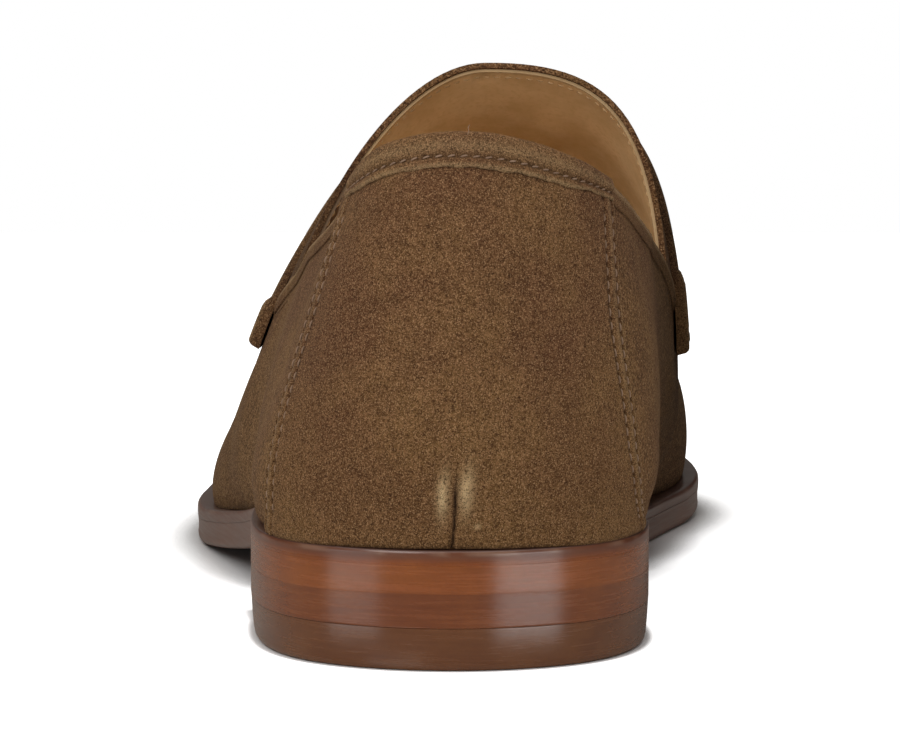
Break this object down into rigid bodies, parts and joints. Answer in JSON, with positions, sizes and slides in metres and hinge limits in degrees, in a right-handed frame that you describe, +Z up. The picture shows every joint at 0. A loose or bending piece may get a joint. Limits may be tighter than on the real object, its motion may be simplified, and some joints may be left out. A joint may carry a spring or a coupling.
{
  "type": "suede loafer",
  "caption": "Left slip-on loafer in brown suede with a strap over the instep, bound collar, sewn heel panel, and a leather sole on a low stacked heel.",
  "frame": {"origin": "middle of the shoe's plan, on the floor", "axes": "+Y from heel to toe, +X to the medial side of the foot, +Z up from the floor"},
  "size_m": [0.1038, 0.2998, 0.096],
  "materials": {
    "brown_suede": "napped suede",
    "sole_leather": "burnished",
    "welt_leather": "burnished",
    "stacked_leather": "burnished",
    "top_piece": "burnished",
    "sock_leather": "smooth"
  },
  "bodies": {
    "root": {"outsole": "sole_leather", "welt": "welt_leather", "heel_lift": "stacked_leather", "top_piece": "top_piece", "insole": "sock_leather", "upper": "brown_suede", "heel_counter": "brown_suede", "saddle_strap": "brown_suede", "collar_binding": "brown_suede"}
  },
  "joints": []
}
